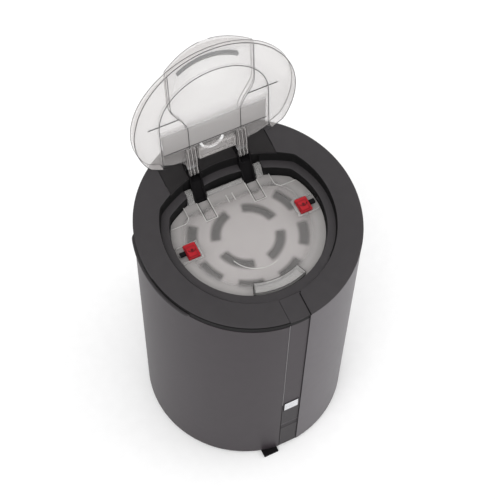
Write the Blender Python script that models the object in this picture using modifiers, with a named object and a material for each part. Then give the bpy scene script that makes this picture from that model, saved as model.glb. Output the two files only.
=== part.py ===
"""Drum-shaped canister filter with an inclined ring top, a clear flip-up lid and a frosted inner cover.

Sizes are in millimetres and the helpers turn them into metres. The floor is z = 0, the drum's axis
is the Z axis, the hinges are at +Y and the front spine is at -Y.
"""

import math

import bmesh
import bpy
from mathutils import Matrix, Vector

MM = 0.001
GAP = 0.3

# Drum
DRUM_R = 150.0
SHELL_OUT = 149.7
SHELL_WALL = 3.0
FOOT_H = 5.0
TOP_MID = 436.0
TOP_SLOPE = 0.115
RING_EDGE = 3.0
RING_BODY_R = 146.0
RING_DEPTH = 14.0
BAND_H = 8.0
SPINE_HALF = 14.0
REAR_HALF = 10.0
STEPS = 48

# Stepped seat: a circle whose back is flattened by a larger one
SEAT_R = 115.0
SEAT_BACK_R = 170.0
SEAT_BACK_Y = -78.0
LEDGE_MID = 424.5
LEDGE_SLOPE = 0.03
OPENING_INSET = 12.0
COLLAR_LOW = 404.8
SLOT_IN = 27.0
SLOT_OUT = 45.0
SLOT_FRONT = 64.0
SLOT_BACK = 112.0
LUG_IN = 46.0
LUG_OUT = 55.0

# Lid
HINGE_Y = 98.0
HINGE_Z = 449.2
LID_OPEN = 101.1
LID_INSET = 2.5
LID_PLATE = 2.5
LID_REAR_Y = 85.0
SKIRT_DEPTH = 9.0
RIB_REAR_Y = 71.0
PIN_R = 2.5
KNUCKLE_R = 11.0

# Inner cover
COVER_LOW = 407.1
COVER_TOP = 411.0
COVER_INSET = 13.2
COVER_PIVOT_Y = 78.0
COVER_PIVOT_Z = 424.0
LATCH_IN = 73.0
LATCH_OUT = 90.0
LATCH_FRONT = -10.0
LATCH_BACK = 12.0

# Tank and media
TANK_INSET = 8.0
TANK_WALL = 2.5
TANK_LOW = 100.0
FLANGE_TOP = 404.5
FLANGE_LOW = 400.0
NECK_INSET = 20.0
BASKET_INSET = 23.0
BASKET_WALL = 2.0
SLEEVE_R = 18.0
TUBE_R = 17.0

# Pump and ports
PUMP_R = 45.0
PORT_X = 30.0
PORT_Z = 62.0
PORT_END = 186.0
VALVE_Y = 164.0
FOOT_CIRCLE = 118.0

COLOURS = {
    "drum_plastic": ((0.10, 0.097, 0.105), 0.45, 0.0),
    "ring_plastic": ((0.06, 0.057, 0.06), 0.5, 0.0),
    "black_plastic": ((0.012, 0.012, 0.013), 0.5, 0.0),
    "clear_plastic": ((0.80, 0.80, 0.80), 0.1, 0.0),
    "frosted_plastic": ((0.62, 0.60, 0.59), 0.4, 0.0),
    "red_plastic": ((0.55, 0.02, 0.03), 0.4, 0.0),
    "silver_window": ((0.70, 0.70, 0.72), 0.3, 0.6),
    "rubber": ((0.02, 0.02, 0.02), 0.8, 0.0),
    "tank_plastic": ((0.30, 0.30, 0.31), 0.5, 0.0),
    "foam_blue": ((0.08, 0.20, 0.35), 0.9, 0.0),
    "foam_dark": ((0.045, 0.045, 0.048), 0.95, 0.0),
    "plate_white": ((0.80, 0.785, 0.77), 0.5, 0.0),
    "ceramic": ((0.65, 0.55, 0.45), 0.9, 0.0),
    "steel": ((0.60, 0.60, 0.62), 0.25, 1.0),
    "magnet": ((0.10, 0.10, 0.11), 0.4, 0.8),
}


def clear_scene():
    for old in list(bpy.data.objects):
        bpy.data.objects.remove(old, do_unlink=True)


def collection(name):
    made = bpy.data.collections.new(name)
    bpy.context.scene.collection.children.link(made)
    return made


def material(name):
    if name in bpy.data.materials:
        return bpy.data.materials[name]
    colour, rough, metal = COLOURS[name]
    made = bpy.data.materials.new(name)
    made.use_nodes = True
    shader = made.node_tree.nodes["Principled BSDF"]
    shader.inputs["Base Color"].default_value = (*colour, 1.0)
    shader.inputs["Roughness"].default_value = rough
    shader.inputs["Metallic"].default_value = metal
    return made


clear_scene()
PARTS = collection("canister_filter")
CUTTERS = collection("cutters")


def top(x, y):
    """Height of the inclined ring top."""
    return TOP_MID + TOP_SLOPE * y


def under_top(depth):
    return lambda x, y: top(x, y) - depth


def ledge(x, y):
    return LEDGE_MID + LEDGE_SLOPE * y


def level(height):
    return height if callable(height) else lambda x, y: height


def shade(mesh):
    mesh.shade_smooth()
    mesh.set_sharp_from_angle(angle=math.radians(35))


def finish_mesh(name, bm, slot, pivot=(0.0, 0.0, 0.0)):
    """Turns a bmesh in millimetres into an object whose origin is at pivot. No slot makes a cutter."""
    bmesh.ops.recalc_face_normals(bm, faces=bm.faces)
    bmesh.ops.translate(bm, verts=bm.verts, vec=-Vector(pivot))
    bmesh.ops.scale(bm, verts=bm.verts, vec=(MM, MM, MM))
    mesh = bpy.data.meshes.new(name)
    bm.to_mesh(mesh)
    bm.free()
    made = bpy.data.objects.new(name, mesh)
    made.location = Vector(pivot) * MM
    if slot:
        shade(mesh)
        mesh.materials.append(material(slot))
        PARTS.objects.link(made)
    else:
        made.hide_render = True
        made.display_type = "WIRE"
        CUTTERS.objects.link(made)
    return made


def prism(name, outline, low, high, slot=None, pivot=(0.0, 0.0, 0.0)):
    """A flat outline extruded upwards, its two ends shaped by heights that may depend on x and y."""
    low, high = level(low), level(high)
    bm = bmesh.new()
    corners = [bm.verts.new((x, y, low(x, y))) for x, y in outline]
    face = bm.faces.new(corners)
    raised = bmesh.ops.extrude_face_region(bm, geom=[face])["geom"]
    for vert in (item for item in raised if isinstance(item, bmesh.types.BMVert)):
        vert.co.z = high(vert.co.x, vert.co.y)
    return finish_mesh(name, bm, slot, pivot)


def side_prism(name, outline, x_low, x_high, slot=None, pivot=(0.0, 0.0, 0.0)):
    """An outline in the Y-Z plane extruded along X."""
    bm = bmesh.new()
    face = bm.faces.new([bm.verts.new((x_low, y, z)) for y, z in outline])
    moved = bmesh.ops.extrude_face_region(bm, geom=[face])["geom"]
    for vert in (item for item in moved if isinstance(item, bmesh.types.BMVert)):
        vert.co.x = x_high
    return finish_mesh(name, bm, slot, pivot)


def loft(name, sections, slot=None, pivot=(0.0, 0.0, 0.0), closed=False):
    """Skins a row of point loops. A closed row joins its last loop to its first, and an open one gets end caps."""
    bm = bmesh.new()
    rows = [[bm.verts.new(point) for point in section] for section in sections]
    for first, second in zip(rows, rows[1:] + rows[:1] if closed else rows[1:]):
        for i in range(len(first)):
            j = (i + 1) % len(first)
            bm.faces.new((first[i], first[j], second[j], second[i]))
    if not closed:
        bm.faces.new(rows[0])
        bm.faces.new(rows[-1])
    return finish_mesh(name, bm, slot, pivot)


def box(name, low, high, slot=None, pivot=(0.0, 0.0, 0.0)):
    bm = bmesh.new()
    bmesh.ops.create_cube(bm, size=1.0)
    size = [b - a for a, b in zip(low, high)]
    middle = [(a + b) / 2 for a, b in zip(low, high)]
    bmesh.ops.scale(bm, verts=bm.verts, vec=size)
    bmesh.ops.translate(bm, verts=bm.verts, vec=middle)
    return finish_mesh(name, bm, slot, pivot)


def rod(name, radius, start, end, slot=None, steps=16, pivot=(0.0, 0.0, 0.0)):
    """A cylinder between two points."""
    start, end = Vector(start), Vector(end)
    along = end - start
    bm = bmesh.new()
    turn = along.to_track_quat("Z", "Y").to_matrix().to_4x4()
    place = Matrix.Translation((start + end) / 2) @ turn
    bmesh.ops.create_cone(
        bm, cap_ends=True, segments=steps, radius1=radius, radius2=radius, depth=along.length, matrix=place
    )
    return finish_mesh(name, bm, slot, pivot)


def turned(name, profile, slot, steps=20, centre=(0.0, 0.0, 0.0), lay_back=False):
    """A closed profile of (radius, height) turned about the Z axis, or about the Y axis if laid back."""
    bm = bmesh.new()
    corners = [bm.verts.new((r * MM, 0, z * MM)) for r, z in profile]
    for first, second in zip(corners, corners[1:] + corners[:1]):
        if profile[corners.index(first)][0] or profile[corners.index(second)][0]:
            bm.edges.new((first, second))
    mesh = bpy.data.meshes.new(name)
    bm.to_mesh(mesh)
    bm.free()
    made = bpy.data.objects.new(name, mesh)
    mesh.materials.append(material(slot))
    PARTS.objects.link(made)
    made.location = Vector(centre) * MM
    if lay_back:
        made.rotation_euler.x = math.radians(-90)
    screw = made.modifiers.new("turn", "SCREW")
    screw.axis = "Z"
    screw.steps = screw.render_steps = steps
    screw.use_merge_vertices = True
    screw.merge_threshold = 0.00001
    screw.use_smooth_shade = False
    return made


def boolean(target, other, operation):
    step = target.modifiers.new(other.name, "BOOLEAN")
    step.operation = operation
    step.object = other
    step.solver = "EXACT"


def subtract(target, *others):
    for other in others:
        boolean(target, other, "DIFFERENCE")


def unite(target, *others):
    for other in others:
        boolean(target, other, "UNION")


def seat_radius(angle, inset):
    """Distance from the axis to the seat's outline, seen from above, at an angle from +X."""
    across, along = math.cos(angle), math.sin(angle)
    back_r = SEAT_BACK_R - inset
    drop = SEAT_BACK_Y * along
    back = drop + math.sqrt(back_r**2 - (SEAT_BACK_Y * across) ** 2)
    return min(SEAT_R - inset, back)


def seat_outline(inset, steps=STEPS):
    points = []
    for i in range(steps):
        angle = 2 * math.pi * i / steps
        radius = seat_radius(angle, inset)
        points.append((radius * math.cos(angle), radius * math.sin(angle)))
    return points


def circle(radius, steps=STEPS, x=0.0, y=0.0):
    turn = 2 * math.pi / steps
    return [(x + radius * math.cos(i * turn), y + radius * math.sin(i * turn)) for i in range(steps)]


def arc(radius, start, end, steps):
    """Points on a circle round the drum's axis, at angles in degrees from +X."""
    angles = [math.radians(start + (end - start) * i / steps) for i in range(steps + 1)]
    return [(radius * math.cos(a), radius * math.sin(a)) for a in angles]


def sector(inner, outer, start, end, steps):
    return arc(outer, start, end, steps) + arc(inner, end, start, steps)


def edge_angle(half_width, radius):
    return math.degrees(math.asin(half_width / radius))


FRONT_EDGE = edge_angle(SPINE_HALF + GAP, SHELL_OUT)
REAR_EDGE = edge_angle(REAR_HALF + GAP, SHELL_OUT)
# Angles from +X, counter-clockwise seen from above: the front is 270 and the rear is 90.
LEFT_SPAN = (90 + REAR_EDGE, 270 - FRONT_EDGE)
RIGHT_SPAN = (-90 + FRONT_EDGE, 90 - REAR_EDGE)


def make_drum():
    inner = SHELL_OUT - SHELL_WALL
    band_under = RING_EDGE + GAP + BAND_H + GAP
    left_outline = sector(inner, SHELL_OUT, *LEFT_SPAN, 34)
    left = prism("outer_shell_left", left_outline, FOOT_H, under_top(band_under), "drum_plastic")
    right_outline = sector(inner, SHELL_OUT, *RIGHT_SPAN, 34)
    right = prism("outer_shell_right", right_outline, FOOT_H, under_top(RING_EDGE + GAP), "drum_plastic")
    for side, shell in ((-1, left), (1, right)):
        x = side * PORT_X
        hole = rod(f"port_hole_{side}", 13.0, (x, 130, PORT_Z), (x, 160, PORT_Z))
        subtract(shell, hole)
    band_span = (90 + REAR_EDGE, 270 + FRONT_EDGE)
    prism(
        "neck_band",
        sector(inner - 0.2, SHELL_OUT - 0.6, *band_span, 36),
        under_top(RING_EDGE + GAP + BAND_H),
        under_top(RING_EDGE + GAP),
        "black_plastic",
    )
    lip_span = (162.0, 214.0)
    lip_outline = sector(SHELL_OUT + 0.1, SHELL_OUT + 3.4, *lip_span, 12)
    lip = prism("grip_lip", lip_outline, under_top(11.0), under_top(7.0), "ring_plastic")
    bevel = lip.modifiers.new("round", "BEVEL")
    bevel.width = 1.0 * MM
    bevel.segments = 2
    bevel.limit_method = "ANGLE"


def make_spines():
    front_y = -148.6
    back_y = -146.3
    window_low, window_high = 135.0, 158.0
    half = SPINE_HALF
    spine = prism(
        "front_spine",
        [(-half, front_y), (half, front_y), (half, back_y), (-half, back_y)],
        window_low - 2.0,
        under_top(RING_EDGE + BAND_H + 2 * GAP),
        "drum_plastic",
    )
    window_half = 10.5
    pocket_low = (-window_half - 1, front_y - 2, window_low - 0.5)
    pocket_high = (window_half + 1, front_y + 2, window_high + 1.5)
    pocket = box("window_pocket", pocket_low, pocket_high)
    subtract(spine, pocket)
    box(
        "status_window",
        (-window_half, front_y - 0.3, window_low + 0.2),
        (window_half + 0.5, front_y + 1.7, window_high),
        "silver_window",
    )
    cover = prism(
        "spine_lower_cover",
        [(-half, front_y), (half, front_y), (half, back_y), (-half, back_y)],
        FOOT_H,
        window_low - 2.0 - GAP,
        "drum_plastic",
    )
    dip_y, dip_z = front_y - 39.0, 78.0
    finger_dip = rod("finger_dip", 40.0, (-half - 1, dip_y, dip_z), (half + 1, dip_y, dip_z), steps=40)
    subtract(cover, finger_dip)
    rear = prism(
        "rear_spine",
        [(-REAR_HALF, 146.3), (REAR_HALF, 146.3), (REAR_HALF, 149.2), (-REAR_HALF, 149.2)],
        FOOT_H,
        under_top(RING_EDGE + BAND_H + 2 * GAP),
        "drum_plastic",
    )
    subtract(rear, rod("gland_hole", 6.0, (0, 140, 32), (0, 155, 32)))
    cap_points = [(-half, -152), (half, -152), (half, -119), (half + 3, -116), (-half, -116)]
    cap = prism("spine_cap", cap_points, under_top(1.8), under_top(0.1), "ring_plastic")
    boolean(cap, prism("cap_trim", circle(DRUM_R - 0.3), 380, 470), "INTERSECT")
    grow = GAP
    cap_groove = [
        (-half - grow, -153),
        (half + grow, -153),
        (half + grow, -119.2),
        (half + 3 + 2 * grow, -116 + grow),
        (-half - grow, -116 + grow),
    ]
    return prism("cap_groove", cap_groove, under_top(2.1), under_top(-3.0))


def make_ring(cap_groove):
    ring = prism("top_ring", circle(DRUM_R, 72), under_top(RING_EDGE), under_top(0.0), "ring_plastic")
    body = prism("ring_body", circle(RING_BODY_R, 72), under_top(RING_DEPTH), under_top(1.0))
    collar = prism("ring_collar", seat_outline(-3.0), COLLAR_LOW, under_top(1.0))
    unite(ring, body, collar)
    seat = prism("seat_cut", seat_outline(0.0), ledge, under_top(-4.0))
    opening = prism("opening_cut", seat_outline(OPENING_INSET), 400, under_top(-4.0))
    subtract(ring, seat, opening, cap_groove)
    sloped = prism("panel_slope", [(-77.3, 60), (77.3, 60), (77.3, 124.3), (-77.3, 124.3)], under_top(2.4), 470)
    subtract(ring, sloped)
    for side in (-1, 1):
        low_x, high_x = sorted((side * SLOT_IN, side * SLOT_OUT))
        subtract(ring, box(f"hinge_slot_{side}", (low_x, SLOT_FRONT, 400), (high_x, SLOT_BACK, 470)))
        low_x, high_x = sorted((side * (SLOT_OUT - 1), side * (LUG_OUT + 0.8)))
        subtract(ring, box(f"lug_notch_{side}", (low_x, SLOT_FRONT, 400), (high_x, 84.8, 440)))
        low_x, high_x = sorted((side * 98.0, side * 108.0))
        subtract(ring, box(f"bolt_pocket_{side}", (low_x, -4.2, 412.6), (high_x, 6.2, 418.4)))


def make_hinge():
    outline = [(-77, 58), (77, 58), (77, 124), (-77, 124)]
    panel = prism("hinge_panel", outline, under_top(2.1), under_top(0.5), "black_plastic")
    subtract(panel, prism("panel_front_cut", seat_outline(-0.4), 400, 470))
    profile = [
        (67.5, COVER_LOW),
        (111.6, COVER_LOW),
        (111.6, 447.6),
        (102.8, 447.6),
        (102.8, 453.2),
        (93.4, 453.2),
        (93.4, 446.4),
        (85.5, 445.0),
        (79.0, 427.0),
        (67.5, 411.5),
    ]
    hollow = [(60.0, 409.2), (72.0, 409.2), (84.0, 435.0), (120.0, 435.0), (120.0, 470.0), (60.0, 470.0)]
    for side, word in ((-1, "left"), (1, "right")):
        low_x, high_x = sorted((side * (SLOT_IN + GAP), side * (SLOT_OUT - GAP)))
        slot = box(f"panel_slot_{word}", (low_x - 0.6, 60, 430), (high_x + 0.6, SLOT_BACK + GAP, 470))
        subtract(panel, slot)
        bracket = side_prism(f"hinge_bracket_{word}", profile, low_x, high_x, "black_plastic")
        subtract(bracket, side_prism(f"bracket_hollow_{word}", hollow, low_x + 2.0, high_x - 2.0))
        ends = ((low_x - 1, HINGE_Y, HINGE_Z), (high_x + 1, HINGE_Y, HINGE_Z))
        subtract(bracket, rod(f"bracket_bore_{word}", PIN_R + GAP, *ends))
        ends = ((low_x, HINGE_Y, HINGE_Z), (high_x, HINGE_Y, HINGE_Z))
        rod(f"hinge_pin_{word}", PIN_R, *ends, "steel")


def smooth(t):
    t = min(1.0, max(0.0, t))
    return t * t * (3 - 2 * t)


def band_half_width(y):
    """Half the width of the lid's raised band: wide at the front, narrow towards the hinge."""
    return 38.0 + 21.0 * smooth((20.0 - y) / 52.0)


def band_height(depth):
    """The band has low walls along its sides and a vault between them, which is highest at the front rim."""

    def height(x, y):
        wall = 1.0 + 5.0 * smooth((y + 110.0) / 35.0)
        vault = 1.0 + 13.0 * smooth((40.0 - y) / 150.0)
        across = max(0.0, 1.0 - (x / band_half_width(y)) ** 2)
        return lid_plane(y) + LID_PLATE - depth + wall + vault * across

    return height


def band_solid(name, inset, rear_y, low, depth, pivot):
    """The band's space from the hinge side to the rim, as cross-sections."""
    rim = SEAT_R - LID_INSET - inset
    corner = math.degrees(math.acos((band_half_width(-90) - inset) / rim))
    side_end = -rim * math.sin(math.radians(corner)) + 2
    stations = []
    for i in range(11):
        y = rear_y + (side_end - rear_y) * i / 10
        stations.append((band_half_width(y) - inset, y))
    for i in range(7):
        angle = math.radians(corner + (86 - corner) * i / 6)
        stations.append((rim * math.cos(angle), -rim * math.sin(angle)))
    high = band_height(depth)
    sections = []
    for half, y in stations:
        across = [half * k / 4 for k in range(-4, 5)]
        section = [(x, y, high(x, y)) for x in across]
        section += [(half, y, lid_plane(y) + low), (-half, y, lid_plane(y) + low)]
        sections.append(section)
    return loft(name, sections, None, pivot)


def lid_plane(y):
    """Underside of the closed lid's plate, parallel to the ring top and through the hinge axis."""
    return HINGE_Z + TOP_SLOPE * (y - HINGE_Y)


def above_lid(height):
    return lambda x, y: lid_plane(y) + height


def lid_outline(inset, steps=STEPS):
    """The seat's outline, cut off straight along the hinge side."""
    return [(x, min(y, LID_REAR_Y - inset)) for x, y in seat_outline(LID_INSET + inset, steps)]


def make_lid():
    """Every lid piece is built closed, about the hinge axis, and then swung open."""
    pivot = (0.0, HINGE_Y, HINGE_Z)
    lid = prism("outer_lid", lid_outline(0.0), above_lid(0.0), above_lid(LID_PLATE), "clear_plastic", pivot)
    band = band_solid("lid_band", 0.35, LID_REAR_Y - 1, 0.5, 0.0, pivot)
    hollow = band_solid("lid_hollow", LID_PLATE, LID_REAR_Y - 5, -1.0, LID_PLATE, pivot)
    sections = []
    for (x, y), (inner_x, inner_y) in zip(lid_outline(0.15), lid_outline(2.0)):
        low = max(ledge(x, y) + 1.5, lid_plane(y) - SKIRT_DEPTH)
        section = [(x, y, low), (x, y, lid_plane(y) + 1.0)]
        section += [(inner_x, inner_y, lid_plane(inner_y) + 1.0), (inner_x, inner_y, low)]
        sections.append(section)
    skirt = loft("lid_skirt", sections, None, pivot, closed=True)
    skirt_rear = box("lid_skirt_rear", (-78, 55, 400), (78, 120, 480), None, pivot)
    subtract(skirt, skirt_rear)
    unite(lid, skirt, band)
    subtract(lid, hollow)
    pieces = [lid, band, hollow, skirt, skirt_rear]

    rib_r, rib_wall, rib_h = 77.0, 2.0, 4.0
    rear = RIB_REAR_Y
    outer = [(rib_r, rear)] + arc(rib_r, 0, -180, 22) + [(-rib_r, rear)]
    inner_r = rib_r - rib_wall
    inner = [(-inner_r, rear)] + arc(inner_r, -180, 0, 22) + [(inner_r, rear)]
    rib = prism("lid_rib", outer + inner, above_lid(-rib_h), above_lid(-GAP), "clear_plastic", pivot)
    for side in (-1, 1):
        low_x, high_x = sorted((side * 48.0, side * 90.0))
        bar = prism(
            f"rib_bar_{side}",
            [(low_x, -8.0), (high_x, -8.0), (high_x, -6.4), (low_x, -6.4)],
            above_lid(-3.0),
            above_lid(-GAP),
            None,
            pivot,
        )
        unite(rib, bar)
        pieces.append(bar)
    pieces.append(rib)
    sections = []
    for x, y in arc(86.0, 242.0, 298.0, 18):
        out_x, out_y, in_x, in_y = x * 88 / 86, y * 88 / 86, x * 84 / 86, y * 84 / 86
        high = min(band_height(LID_PLATE + 1.5)(out_x, out_y), band_height(LID_PLATE + 1.5)(in_x, in_y))
        section = [(out_x, out_y, high - 6.0), (out_x, out_y, high), (in_x, in_y, high), (in_x, in_y, high - 6.0)]
        sections.append(section)
    grip = loft("lid_grip", sections, "frosted_plastic", pivot)
    rear_bar = prism(
        "lid_rear_bar",
        [(-26, 60), (26, 60), (26, 79), (-26, 79)],
        above_lid(-7.0),
        above_lid(-GAP),
        "clear_plastic",
        pivot,
    )
    hollow_outline = [(-24, 62.5), (24, 62.5), (24, 77), (-24, 77)]
    bar_hollow = prism("rear_bar_hollow", hollow_outline, above_lid(-9), above_lid(-2.3), None, pivot)
    subtract(rear_bar, bar_hollow)
    pieces += [grip, rear_bar, bar_hollow]

    for side, word in ((-1, "left"), (1, "right")):
        middle = side * (SLOT_IN + SLOT_OUT) / 2
        root_rear = HINGE_Y - 15
        root = prism(
            f"lid_arm_{word}",
            [(middle - 6.1, 56), (middle + 6.1, 56), (middle + 6.1, root_rear), (middle - 6.1, root_rear)],
            above_lid(-3.4),
            above_lid(-GAP),
            "clear_plastic",
            pivot,
        )
        knuckle = [
            (HINGE_Y + KNUCKLE_R * math.cos(math.radians(a)), HINGE_Z + KNUCKLE_R * math.sin(math.radians(a)))
            for a in range(-120, 151, 30)
        ]
        leaf = [(56.5, lid_plane(56.5) - 6.0), (80.0, lid_plane(80.0) - 9.0)] + knuckle
        leaf += [(86.4, HINGE_Z + 2.0), (86.4, lid_plane(86.4) - GAP - 0.1), (56.5, lid_plane(56.5) - GAP - 0.1)]
        for number, offset in enumerate((-4.9, 0.0, 4.9)):
            blade = side_prism(
                f"leaf_{word}_{number}", leaf, middle + offset - 1.2, middle + offset + 1.2, None, pivot
            )
            unite(root, blade)
            pieces.append(blade)
        bore = rod(
            f"arm_bore_{word}",
            PIN_R + GAP,
            (middle - 9, HINGE_Y, HINGE_Z),
            (middle + 9, HINGE_Y, HINGE_Z),
            pivot=pivot,
        )
        subtract(root, bore)
        pieces += [root, bore]

    swing = bpy.data.objects.new("lid_hinge_axis", None)
    swing.location = Vector(pivot) * MM
    PARTS.objects.link(swing)
    for piece in pieces:
        piece.parent = swing
        piece.location = (0, 0, 0)
    swing.rotation_euler.x = -math.radians(LID_OPEN)


def corner_pocket(side, depth):
    """The lowered corner of the inner cover that leaves room for a fingertip."""
    turns = [math.radians(a) for a in range(0, 91, 18)]
    curve = [(73.0 - 10 * math.cos(a), 53.0 - 10 * math.sin(a)) for a in turns]
    points = [(63.0, 95.0)] + curve + [(110.0, 43.0), (110.0, 95.0)]
    return [(side * x, y) for x, y in points]


def make_cover():
    cover = prism("inner_cover", seat_outline(COVER_INSET), COVER_LOW, COVER_TOP, "frosted_plastic")
    straight_rear = 75.6
    subtract(cover, box("cover_rear_trim", (-60, straight_rear, 400), (60, 120, 430)))
    lug_foot = COVER_LOW + 0.5
    lug_profile = [(60, lug_foot), (76, lug_foot), (82, 420), (82, 426), (79.5, 428)]
    lug_profile += [(75, 428), (72, 424), (66, 413)]
    for side, word in ((-1, "left"), (1, "right")):
        low_x, high_x = sorted((side * LUG_IN, side * LUG_OUT))
        lug = side_prism(
            f"cover_lug_{word}",
            lug_profile,
            low_x,
            high_x,
        )
        unite(cover, lug)
        low_x, high_x = sorted((side * (SLOT_IN - 0.3), side * (SLOT_OUT + 0.2)))
        notch = box(f"cover_notch_{word}", (low_x, 66.5, 400), (high_x, 120, 440))
        channel = box(
            f"cover_channel_{word}", (low_x + 0.9, 35.0, COVER_TOP - 2.4), (high_x - 0.9, 70, COVER_TOP + 5)
        )
        pocket = prism(f"cover_pocket_{word}", corner_pocket(side, 2.2), COVER_TOP - 2.2, COVER_TOP + 9)
        subtract(cover, notch, channel, pocket)
    box("cover_rear_rib", (-26, 69.0, COVER_TOP + GAP), (26, 75.0, COVER_TOP + 4.5), "frosted_plastic")
    handle_outline = sector(84.0, 99.5, 248.0, 292.0, 16)
    handle = prism("cover_handle", handle_outline, COVER_TOP + GAP, COVER_TOP + 8.5, "clear_plastic")
    hollow_outline = sector(80.0, 97.3, 249.4, 290.6, 16)
    subtract(handle, prism("handle_hollow", hollow_outline, COVER_TOP - 1, COVER_TOP + 6.3))


def make_latches():
    for side, word in ((-1, "left"), (1, "right")):
        frame_low, frame_high = sorted((side * (LATCH_IN - 4.0), side * 99.0))
        frame = box(
            f"latch_frame_{word}",
            (frame_low, LATCH_FRONT - 2.4, COVER_TOP + GAP),
            (frame_high, LATCH_BACK + 2.4, COVER_TOP + 2.8),
            "clear_plastic",
        )
        run_low, run_high = sorted((side * (LATCH_IN - 1.0), side * 101.0))
        run = box(
            f"latch_run_{word}",
            (run_low, LATCH_FRONT - 0.4, COVER_TOP - 1),
            (run_high, LATCH_BACK + 0.4, COVER_TOP + 5),
        )
        subtract(frame, run)
        low_x, high_x = sorted((side * LATCH_IN, side * LATCH_OUT))
        block = box(
            f"latch_{word}",
            (low_x, LATCH_FRONT, COVER_TOP + GAP),
            (high_x, LATCH_BACK, COVER_TOP + 7.5),
            "red_plastic",
        )
        bevel = block.modifiers.new("round", "BEVEL")
        bevel.width = 1.0 * MM
        bevel.segments = 2
        low_x, high_x = sorted((side * (LATCH_OUT + GAP), side * 98.0))
        box(f"latch_bolt_{word}", (low_x, -2.0, COVER_TOP + 2.4), (high_x, 4.0, COVER_TOP + 5.6), "black_plastic")


def make_tank():
    tank = prism("inner_tank", seat_outline(TANK_INSET), TANK_LOW, FLANGE_LOW + 1, "tank_plastic")
    flange = prism("tank_flange", seat_outline(-3.0), FLANGE_LOW, FLANGE_TOP)
    unite(tank, flange)
    cavity = prism("tank_cavity", seat_outline(TANK_INSET + TANK_WALL), TANK_LOW + 3, FLANGE_LOW - 3)
    neck = prism("tank_neck", seat_outline(NECK_INSET), FLANGE_LOW - 10, 420)
    drain = rod("tank_drain", 14.0, (0, 0, 90), (0, 0, 120))
    feed = rod("tank_feed", 10.0, (-PORT_X, 64, 90), (-PORT_X, 64, 120))
    subtract(tank, cavity, neck, drain, feed)
    gasket = prism("cover_gasket", seat_outline(COVER_INSET), FLANGE_TOP + GAP, COVER_LOW - GAP, "rubber")
    subtract(gasket, prism("gasket_hole", seat_outline(COVER_INSET + 5), 400, 420))


def arc_slots(target, name, inner, outer, count, first, half_angle, low, high):
    for i in range(count):
        middle = first + 360.0 * i / count
        outline = sector(inner, outer, middle - half_angle, middle + half_angle, 3)
        subtract(target, prism(f"{name}_{i}", outline, low, high))


def make_media():
    plate = prism("diffuser_plate", seat_outline(NECK_INSET + 1.5), 393.5, 396.5, "plate_white")
    arc_slots(plate, "inner_slot", 39.0, 47.0, 4, 45.0, 29.0, 390, 400)
    arc_slots(plate, "outer_slot", 70.0, 79.0, 8, 22.5, 13.0, 390, 400)
    for word, low in (("lower", 104.0), ("upper", 249.0)):
        high = low + 143.0
        basket = prism(f"basket_{word}", seat_outline(BASKET_INSET), low, high, "tank_plastic")
        inside = prism(f"basket_inside_{word}", seat_outline(BASKET_INSET + BASKET_WALL), low + 3, high + 5)
        below = (0, 0, low - 2)
        subtract(inside, rod(f"basket_core_{word}", SLEEVE_R + 2, below, (0, 0, high + 9), steps=20))
        subtract(basket, inside, rod(f"basket_bore_{word}", SLEEVE_R, below, (0, 0, high + 2), steps=20))
        arc_slots(basket, f"basket_slot_{word}", 30.0, 70.0, 6, 30.0, 20.0, low - 2, low + 6)
    fills = (
        ("foam_coarse", 252.5, 318.0, "foam_blue"),
        ("foam_fine", 318.6, 388.0, "foam_dark"),
        ("bio_media", 107.5, 243.0, "ceramic"),
    )
    for name, low, high, slot in fills:
        pad = prism(name, seat_outline(BASKET_INSET + BASKET_WALL + 0.6), low, high, slot)
        subtract(pad, rod(f"{name}_bore", SLEEVE_R + 2.6, (0, 0, low - 2), (0, 0, high + 2), steps=20))
    tube = rod("centre_tube", TUBE_R, (0, 0, 103.5), (0, 0, 391.5), "tank_plastic", steps=20)
    subtract(tube, rod("tube_bore", TUBE_R - 3, (0, 0, 100), (0, 0, 400), steps=20))


def make_pump():
    housing = [(PUMP_R, 70), (PUMP_R, 8.6), (0, 8.6), (0, 11.6), (PUMP_R - 3, 11.6), (PUMP_R - 3, 70)]
    pump = turned("pump_housing", housing, "black_plastic", 32)
    subtract(pump, rod("outlet_bore", 9.5, (PORT_X, 20, PORT_Z), (PORT_X, 60, PORT_Z)))
    cover = prism("volute_cover", circle(PUMP_R, 32), 70.3, 74.5, "tank_plastic")
    neck = rod("volute_neck", 17.0, (0, 0, 74), (0, 0, 99.7), steps=20)
    unite(cover, neck)
    bore = rod("volute_bore", 14.0, (0, 0, 76), (0, 0, 110), steps=20)
    subtract(cover, bore, rod("volute_seat", 5.3, (0, 0, 60), (0, 0, 80)))
    arc_slots(cover, "suction_slot", 7.5, 13.5, 4, 45.0, 36.0, 60, 80)
    turned("stator_block", [(38, 54), (38, 14), (15, 14), (15, 54)], "magnet", 24)
    turned("rotor_shaft", [(2, 74.0), (2, 13.0), (0, 13.0), (0, 74.0)], "steel", 12)
    turned("bearing_lower", [(6, 18.5), (6, 12.0), (2.3, 12.0), (2.3, 18.5)], "ceramic", 12)
    turned("bearing_upper", [(5, 74.0), (5, 70.6), (2.3, 70.6), (2.3, 74.0)], "ceramic", 12)
    turned("rotor_magnet", [(13, 55), (13, 20), (2.3, 20), (2.3, 55)], "magnet", 20)
    impeller_profile = [(6, 59), (6, 68), (2.3, 68), (2.3, 56.2), (26, 56.2), (26, 59)]
    impeller = turned("impeller", impeller_profile, "black_plastic", 20)
    for i in range(6):
        blade = box(f"impeller_blade_{i}", (4.5, -1.0, 58.5), (25.0, 1.0, 67.0))
        blade.rotation_euler.z = math.radians(60 * i)
        unite(impeller, blade)


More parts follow.
